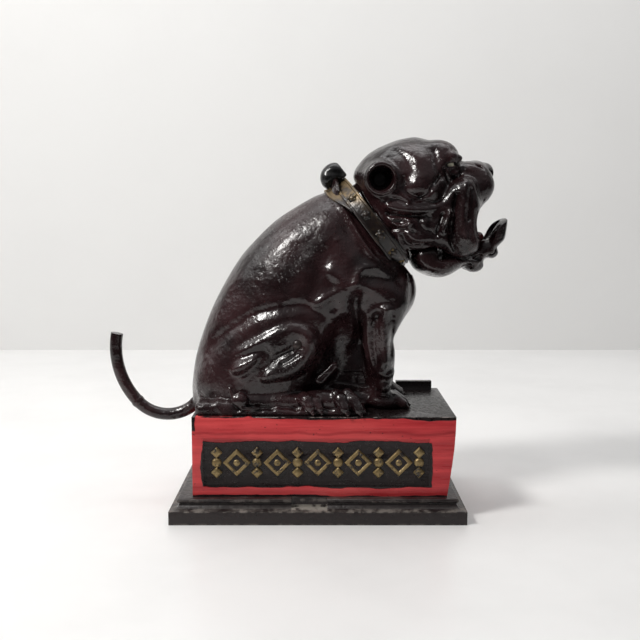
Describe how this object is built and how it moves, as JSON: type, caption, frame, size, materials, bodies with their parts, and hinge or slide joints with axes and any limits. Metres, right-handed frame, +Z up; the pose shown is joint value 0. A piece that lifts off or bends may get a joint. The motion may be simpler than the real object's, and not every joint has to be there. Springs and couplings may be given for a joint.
{
  "type": "mechanical bank",
  "caption": "Cast-iron mechanical bank: a seated bulldog on a box pedestal; pulling its tail tips its head back and opens its jaw to swallow a coin from its nose.",
  "frame": {"origin": "centre of the base plate's underside, on the flat bar it rests on", "axes": "+X the way the dog faces, along its length; +Y the dog's left; +Z up"},
  "size_m": [0.2074, 0.092, 0.19],
  "materials": {
    "black_japan": "glossy brown-black japanning",
    "plate_black": "glossy black paint, worn at the edges",
    "red_paint": "brushed red enamel over iron",
    "gilt": "worn gold paint over iron",
    "knot_black": "glossy black paint",
    "eye_enamel": "cream enamel with a dark pupil",
    "pin_steel": "darkened steel",
    "spring_steel": "dull wire",
    "trap_iron": "bare dark iron"
  },
  "bodies": {
    "bank": {"base_plate": "plate_black", "pedestal": "red_paint", "body_right": "black_japan", "body_left": "black_japan", "collar": "gilt", "collar_knot": "knot_black", "tail_pin": "pin_steel", "neck_pin": "pin_steel", "return_spring": "spring_steel", "thigh_rivet": "black_japan", "body_screws": "pin_steel", "base_screws": "pin_steel", "trap_rivet": "pin_steel"},
    "tail": {"tail_lever": "black_japan", "link_lower_pin": "pin_steel"},
    "link": {"link_rod": "pin_steel"},
    "head": {"head": "black_japan", "right_eye": "eye_enamel", "left_eye": "eye_enamel", "jaw_pin": "pin_steel", "link_upper_pin": "pin_steel"},
    "jaw": {"lower_jaw": "black_japan"},
    "trap": {"coin_trap": "trap_iron"}
  },
  "joints": [
    {"name": "tail_pull", "type": "hinge", "parent": "bank", "child": "tail", "pos_m": [-0.054, 0, 0.058], "axis": [0, -1, 0], "range_deg": [0, 21], "stiffness_Nm_per_rad": 0.12, "springref_deg": -28.65, "deforming": ["return_spring"]},
    {"name": "head_tilt", "type": "hinge", "parent": "bank", "child": "head", "pos_m": [0.01648, 0, 0.16122], "axis": [0, -1, 0], "range_deg": [0, 16]},
    {"name": "jaw_open", "type": "hinge", "parent": "head", "child": "jaw", "pos_m": [0.05, 0, 0.139], "axis": [0, 1, 0], "range_deg": [0, 14]},
    {"name": "link_swing", "type": "hinge", "parent": "tail", "child": "link", "pos_m": [-0.034, 0, 0.058], "axis": [0, -1, 0], "range_deg": [-25, 0]},
    {"name": "trap_turn", "type": "hinge", "parent": "bank", "child": "trap", "pos_m": [0.046, 0, 0], "axis": [0, 0, 1], "range_deg": [0, 90]}
  ],
  "couplings": [
    {"joint": "head_tilt", "follows": "tail_pull", "ratio": 0.7619},
    {"joint": "jaw_open", "follows": "tail_pull", "ratio": 0.6666},
    {"joint": "link_swing", "follows": "tail_pull", "ratio": -1.12}
  ]
}
